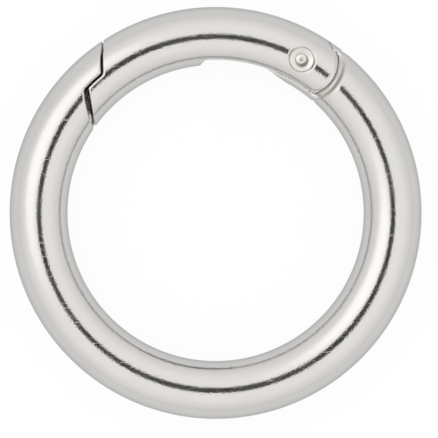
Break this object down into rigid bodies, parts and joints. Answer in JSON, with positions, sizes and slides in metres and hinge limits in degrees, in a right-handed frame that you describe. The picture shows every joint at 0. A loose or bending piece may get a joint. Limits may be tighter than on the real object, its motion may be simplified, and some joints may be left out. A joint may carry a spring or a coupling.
{
  "type": "spring gate ring",
  "caption": "Round-wire ring with a hinged gate that opens inwards on a riveted pin, latches in a half lap and is closed by a coil spring; clips straps, cords and keys.",
  "frame": {"origin": "centre of the ring, on the surface that it lies on", "axes": "+Z along the ring's axis; the gate is on the +Y side, with its hinge towards +X"},
  "size_m": [0.0348, 0.0348, 0.0049],
  "materials": {
    "nickel_plate": "polished nickel plate on die-cast zinc",
    "rivet_nickel": "nickel-plated steel, riveted over",
    "spring_steel": "drawn spring wire"
  },
  "bodies": {
    "ring": {"ring_body": "nickel_plate"},
    "gate": {"gate": "nickel_plate", "hinge_pin": "rivet_nickel", "gate_spring": "spring_steel"}
  },
  "joints": [
    {"name": "gate_hinge", "type": "hinge", "parent": "ring", "child": "gate", "pos_m": [0.00724, 0.01291, 0.00245], "axis": [0, 0, 1], "range_deg": [0, 35], "stiffness_Nm_per_rad": 0.008, "springref_deg": -34.38, "deforming": ["gate_spring"]}
  ]
}
